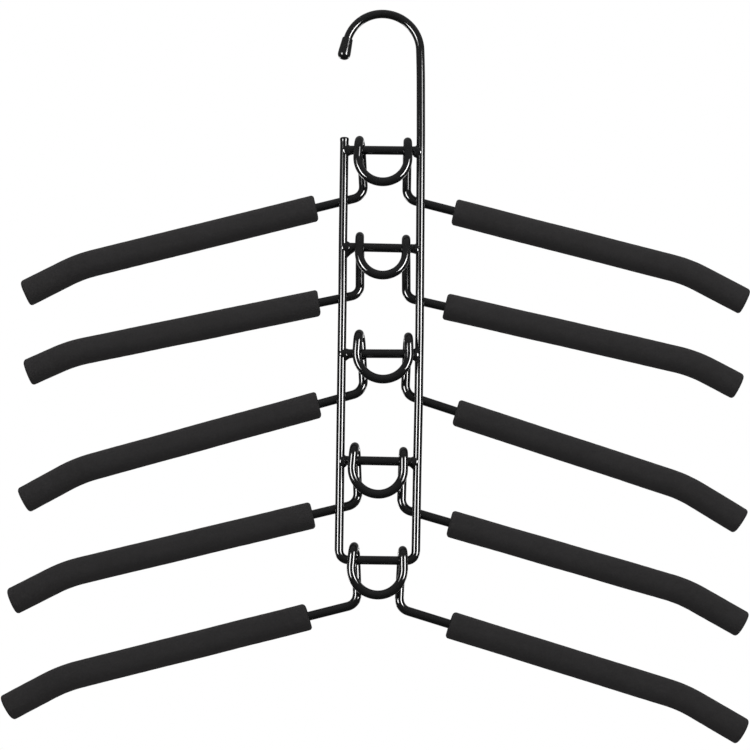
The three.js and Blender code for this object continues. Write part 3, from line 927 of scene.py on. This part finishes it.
def addFloor(f):
    # A disc: x = r cos t, y = r sin t, on a grid of r and t. It turns white by a smooth step of r.
    r = np.linspace(f["hub"], f["reach"], f["rings"])[:, None, None]
    t = np.linspace(0, 2 * np.pi, f["around"], endpoint=False)[None, :, None]
    grid = np.concatenate([r * np.cos(t), r * np.sin(t), f["z"] + 0 * r * t], -1).reshape(-1, 3)
    index = np.arange(len(grid)).reshape(f["rings"], f["around"])
    low, high = index[:-1], index[1:]
    quads = np.stack([low, high, np.roll(high, -1, 1), np.roll(low, -1, 1)], -1).reshape(-1, 4)
    mesh = bpy.data.meshes.new("floor")
    mesh.from_pydata((grid * mm).tolist(), [], quads.tolist() + [index[0].tolist()])
    material = bpy.data.materials.new("pale floor")
    node = cleared(material)
    place = node("TexCoord").outputs["Object"]
    flat = node("VectorMath", {"operation": "MULTIPLY"}, i0=place, i1=(1, 1, 0))
    reach = node("VectorMath", {"operation": "LENGTH"}, i0=flat).outputs["Value"]
    out = node("MapRange", smooth, Value=reach, From_Min=f["plain"], From_Max=f["white"])
    ray = node("LightPath").outputs
    seen = maths(node, "MAXIMUM", ray["Is Camera Ray"], ray["Is Glossy Ray"])
    seen = maths(node, "MAXIMUM", seen, ray["Is Transmission Ray"])
    plain = node("BsdfDiffuse", Color=f["colour"])
    white = node("Emission", Color=(1, 1, 1, 1), Strength=1)
    mixed = node("MixShader", Fac=maths(node, "MULTIPLY", out, seen), i1=plain, i2=white)
    node("OutputMaterial", Surface=mixed)
    mesh.materials.append(material)
    piece = bpy.data.objects.new("floor", mesh)
    bpy.context.collection.objects.link(piece)
    piece.visible_glossy = False
    piece.visible_diffuse = False


addFloor(floor)

# Studio light. The sky and the soft lamps light every surface at a plain level. The tall panels
# in front and the two low ones behind show in the glossy wire only, as the bright lines along it.
# A lamp stands at an azimuth from straight in front, and is wide by tall.
softLamps = {
    "soft_front": {"azimuth": 0, "z": 560, "distance": 560, "size": (700, 700), "radiance": 5.4},
    "soft_back": {"azimuth": 180, "z": 350, "distance": 1500, "size": (1400, 1000), "radiance": 1.6},
}
glossPanels = {
    "panel_left": {"azimuth": -42, "z": -250, "distance": 1500, "size": (440, 700), "radiance": 29},
    "panel_left_top": {"azimuth": -42, "z": 190, "distance": 1500, "size": (440, 180), "radiance": 7},
    "panel_right": {"azimuth": 42, "z": -165, "distance": 1500, "size": (460, 870), "radiance": 33},
    "panel_right_top": {"azimuth": 42, "z": 350, "distance": 1500, "size": (460, 160), "radiance": 14},
    "rear_left": {"azimuth": -140, "z": -470, "distance": 1200, "size": (330, 340), "radiance": 7},
    "rear_right": {"azimuth": 140, "z": -470, "distance": 1200, "size": (330, 340), "radiance": 7},
}
lampAim = Vector((0, 0, -200)) * mm


def addLamp(name, lamp, glossOnly):
    # A panel of radiance L and area A gives L A pi watts
    width, tall = (length * mm for length in lamp["size"])
    data = bpy.data.lights.new(name, "AREA")
    data.shape, data.size, data.size_y = "RECTANGLE", width, tall
    data.energy = lamp["radiance"] * width * tall * math.pi
    azimuth = math.radians(lamp["azimuth"])
    at = Vector((math.sin(azimuth), -math.cos(azimuth), 0)) * lamp["distance"] * mm
    at.z = lamp["z"] * mm
    stand = bpy.data.objects.new(name, data)
    bpy.context.collection.objects.link(stand)
    stand.location = at
    stand.rotation_euler = (lampAim - at).to_track_quat("-Z", "Y").to_euler()
    stand.visible_camera = False
    stand.visible_diffuse = not glossOnly
    stand.visible_glossy = glossOnly


for name, lamp in softLamps.items():
    addLamp(name, lamp, glossOnly=False)
for name, lamp in glossPanels.items():
    addLamp(name, lamp, glossOnly=True)

# The background is white to the camera. Reflections show it where the backdrop stands, behind the
# hanger, and elsewhere the dim room. Diffuse light comes from a soft sky, a little more from below.
room = {
    "sky": (0.56, -0.06),  # brightness at the horizon, and how much it changes to straight up
    "dim": (0.16, 0.09),
    "backdrop": (0.88, 0.95),  # the backdrop comes in between these shares of a direction backwards
}


def addWorld(r):
    # sky = a + b z and room = c + d z for a direction of height z, and the backdrop comes in by a
    # smooth step of the direction's y
    world = bpy.data.worlds.new("studio")
    bpy.context.scene.world = world
    node = cleared(world)
    way = node("SeparateXYZ", Vector=node("TexCoord").outputs["Generated"]).outputs
    (skyBase, skyRise), (dimBase, dimRise), (least, full) = r["sky"], r["dim"], r["backdrop"]
    sky = maths(node, "MULTIPLY_ADD", way["Z"], skyRise, skyBase)
    dim = maths(node, "MULTIPLY_ADD", way["Z"], dimRise, dimBase, use_clamp=True)
    backdrop = node("MapRange", smooth, Value=way["Y"], From_Min=least, From_Max=full)
    reflected = node("MapRange", Value=backdrop, To_Min=dim, To_Max=1)
    ray = node("LightPath").outputs
    light = node("MapRange", Value=ray["Is Glossy Ray"], To_Min=sky, To_Max=reflected)
    seen = maths(node, "MAXIMUM", ray["Is Camera Ray"], ray["Is Transmission Ray"])
    level = node("MapRange", Value=seen, To_Min=light, To_Max=1)
    node("OutputWorld", Surface=node("Background", Color=(1, 1, 1, 1), Strength=level))


addWorld(room)
print("floor, lamps and background made")
